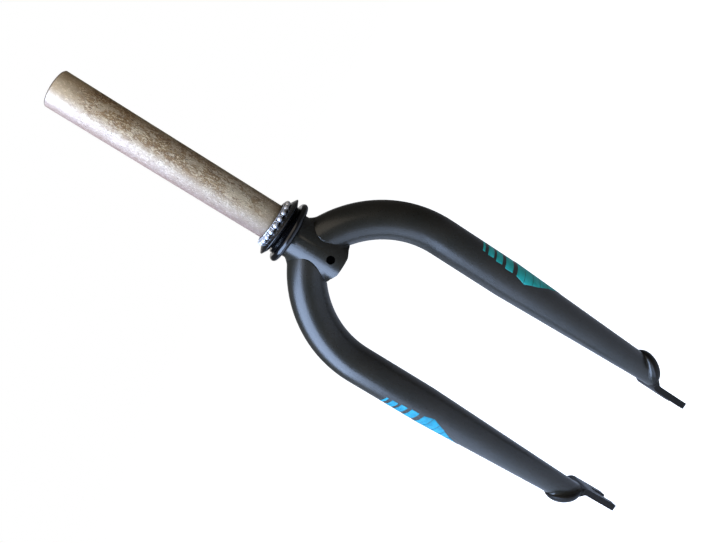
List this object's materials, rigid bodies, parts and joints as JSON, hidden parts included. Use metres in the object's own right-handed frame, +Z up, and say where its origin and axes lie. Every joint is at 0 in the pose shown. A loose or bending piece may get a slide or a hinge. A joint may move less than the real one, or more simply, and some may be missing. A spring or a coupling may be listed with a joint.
{
  "type": "bicycle fork",
  "caption": "Rigid bicycle fork: threadless steerer, welded crown, curved tapered legs, slotted fork ends, stripe transfers and the lower headset bearing resting on it.",
  "frame": {"origin": "on the steerer's axis at the shoulder that the crown race sits on", "axes": "+Z up along the steerer, -Y to the front of the bicycle, +X to the rider's left"},
  "size_m": [0.152, 0.0585, 0.5487],
  "materials": {
    "plated_steel": "stained zinc",
    "black_paint": "matte",
    "blacked_steel": "gloss",
    "seal_rubber": "satin",
    "cage_steel": "satin",
    "ball_steel": "polished",
    "teal_foil": "satin",
    "cyan_foil": "satin"
  },
  "bodies": {
    "root": {"steerer_tube": "plated_steel", "crown_sleeve": "black_paint", "steerer_weld": "black_paint", "leg_left": "black_paint", "leg_right": "black_paint", "crown_weld_left": "black_paint", "crown_weld_right": "black_paint", "dropout_left": "black_paint", "dropout_right": "black_paint", "dropout_weld_left": "black_paint", "dropout_weld_right": "black_paint", "crown_race": "blacked_steel", "dust_seal": "seal_rubber", "ball_cage": "cage_steel", "bearing_balls": "ball_steel", "decal_left": "teal_foil", "decal_right": "cyan_foil"}
  },
  "joints": []
}
